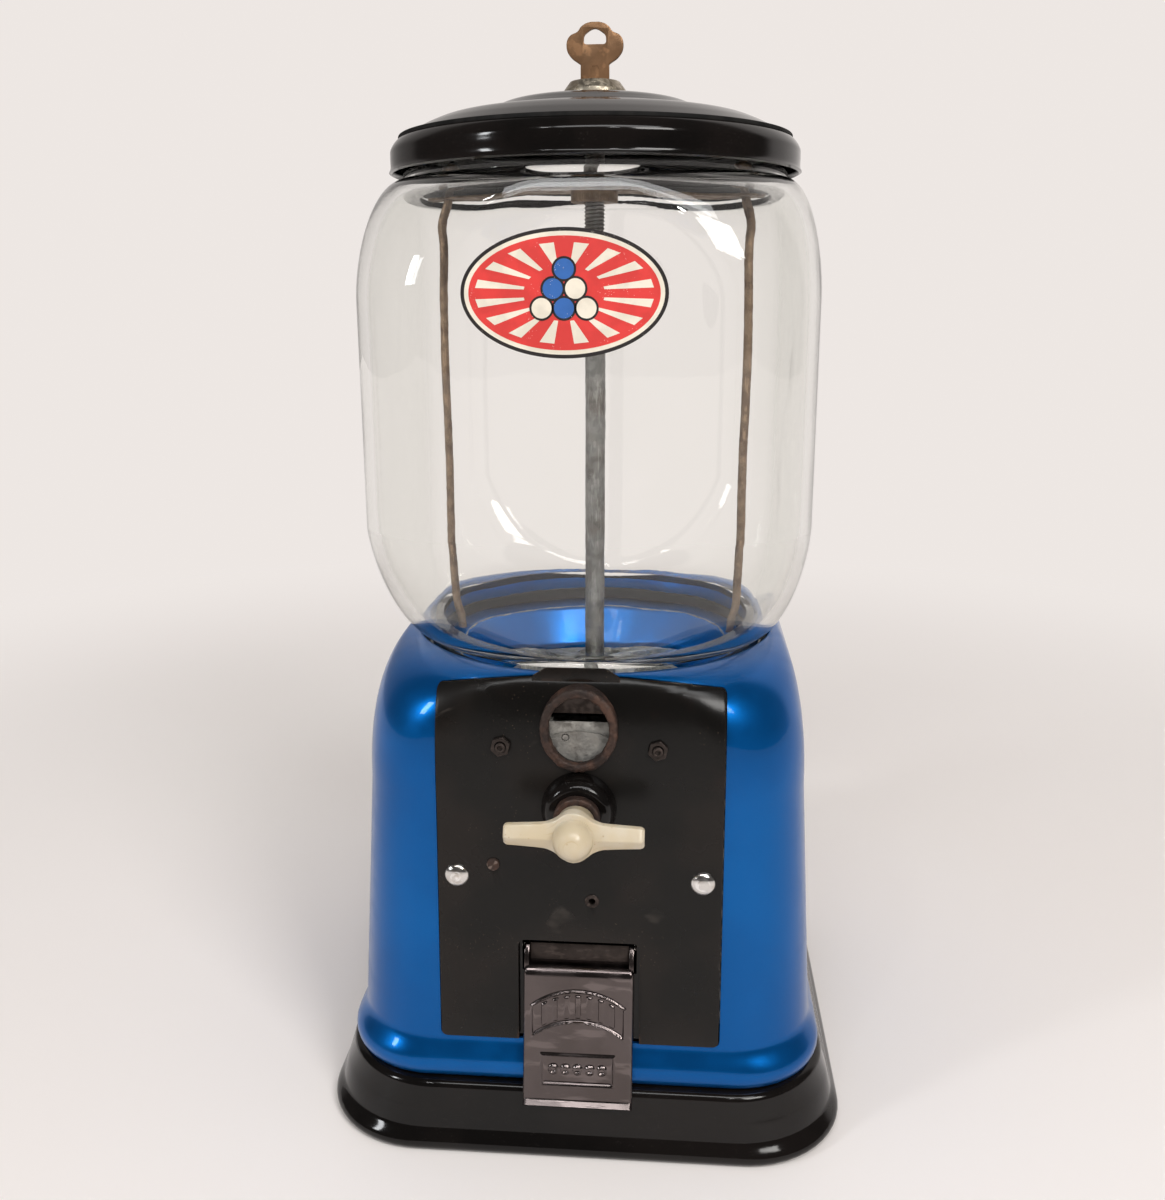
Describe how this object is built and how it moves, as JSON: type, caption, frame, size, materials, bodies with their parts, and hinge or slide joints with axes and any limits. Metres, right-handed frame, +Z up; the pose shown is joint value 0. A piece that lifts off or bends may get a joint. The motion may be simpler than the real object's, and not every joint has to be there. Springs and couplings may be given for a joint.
{
  "type": "gumball machine",
  "caption": "Counter-top gumball machine: square glass globe, black lid with lock and key, blue casing, black front plate with ivory turn handle, metal chute flap",
  "frame": {"origin": "middle of the tray's underside, on the table", "axes": "+Z up, the front with the handle and flap faces -Y, +X to the right from the front"},
  "size_m": [0.1972, 0.2131, 0.4047],
  "materials": {
    "blue_paint": "metallic blue paint with age speckle",
    "black_gloss": "gloss black enamel",
    "black_worn": "worn black paint with brown rubs",
    "ivory_plastic": "aged ivory, smooth",
    "polished_metal": "polished",
    "flap_metal": "darkened, pressed ribs",
    "dull_steel": "dull, lightly stained",
    "rusty_steel": "rusted brown",
    "rod_brown": "browned steel",
    "lock_nickel": "aged nickel",
    "key_brass": "dark tarnished",
    "cast_metal": "as cast",
    "rubber": "matt",
    "glass": "clear, faint green at the edges"
  },
  "bodies": {
    "machine": {"base_tray": "black_gloss", "rod_socket": "dull_steel", "centre_rod": "dull_steel", "casing_shell": "blue_paint", "mounting_strip_left": "dull_steel", "mounting_strip_right": "dull_steel", "front_plate": "black_worn", "cover_screw_left": "polished_metal", "cover_screw_right": "polished_metal", "coin_window_rim": "rusty_steel", "shaft_bushing": "black_gloss", "coin_ledge": "cast_metal", "pawl_spring": "dull_steel", "bearing_plate": "dull_steel", "plate_stud_left": "dull_steel", "plate_stud_right": "dull_steel", "plate_nut_left": "dull_steel", "plate_nut_right": "dull_steel", "pawl_pivot_rivet": "rod_brown", "spring_screw": "dull_steel", "wheel_bushing": "dull_steel", "wheel_retainer": "dull_steel", "wheel_housing": "cast_metal", "housing_nut": "dull_steel", "hopper": "blue_paint", "cut_off_plate": "polished_metal", "chute": "dull_steel", "flap_pin": "polished_metal", "globe": "glass", "lower_gasket": "rubber", "crossbar": "rod_brown", "crossbar_nut": "rusty_steel", "side_rod_left": "rod_brown", "side_rod_right": "rod_brown"},
    "drive": {"handle": "ivory_plastic", "handle_shaft": "dull_steel", "shaft_collar": "rusty_steel", "hub_plate": "cast_metal", "hub_rivet": "dull_steel", "coin_wheel": "cast_metal", "ratchet_wheel": "dull_steel", "drive_pinion": "cast_metal"},
    "wheel": {"gumball_wheel": "cast_metal"},
    "pawl": {"pawl": "dull_steel"},
    "flap": {"flap": "flap_metal"},
    "lid": {"lid": "black_gloss", "lock_body": "lock_nickel", "lock_nut": "dull_steel", "upper_gasket": "rubber"},
    "plug": {"lock_plug": "lock_nickel"},
    "key": {"key": "key_brass"}
  },
  "joints": [
    {"name": "handle_turn", "type": "hinge", "parent": "machine", "child": "drive", "pos_m": [0, -0.09, 0.132], "axis": [0, 1, 0], "continuous": true},
    {"name": "wheel_turn", "type": "hinge", "parent": "machine", "child": "wheel", "pos_m": [0, 0, 0.1382], "axis": [0, 0, 1], "continuous": true},
    {"name": "pawl_lift", "type": "hinge", "parent": "machine", "child": "pawl", "pos_m": [-0.0307, -0.0735, 0.1098], "axis": [0, -1, 0], "range_deg": [0, 12], "deforming": ["pawl_spring"]},
    {"name": "flap_swing", "type": "hinge", "parent": "machine", "child": "flap", "pos_m": [0, -0.0795, 0.076], "axis": [-1, 0, 0], "range_deg": [0, 60]},
    {"name": "lid_lift", "type": "slide", "parent": "machine", "child": "lid", "axis": [0, 0, 1], "range_m": [0, 0.1]},
    {"name": "key_turn", "type": "hinge", "parent": "lid", "child": "plug", "pos_m": [0, 0, 0.384], "axis": [0, 0, 1], "range_deg": [0, 90]},
    {"name": "key_withdraw", "type": "slide", "parent": "plug", "child": "key", "axis": [0, 0, 1], "range_m": [0, 0.028]}
  ],
  "couplings": [
    {"joint": "wheel_turn", "follows": "handle_turn", "ratio": 0.16667}
  ]
}
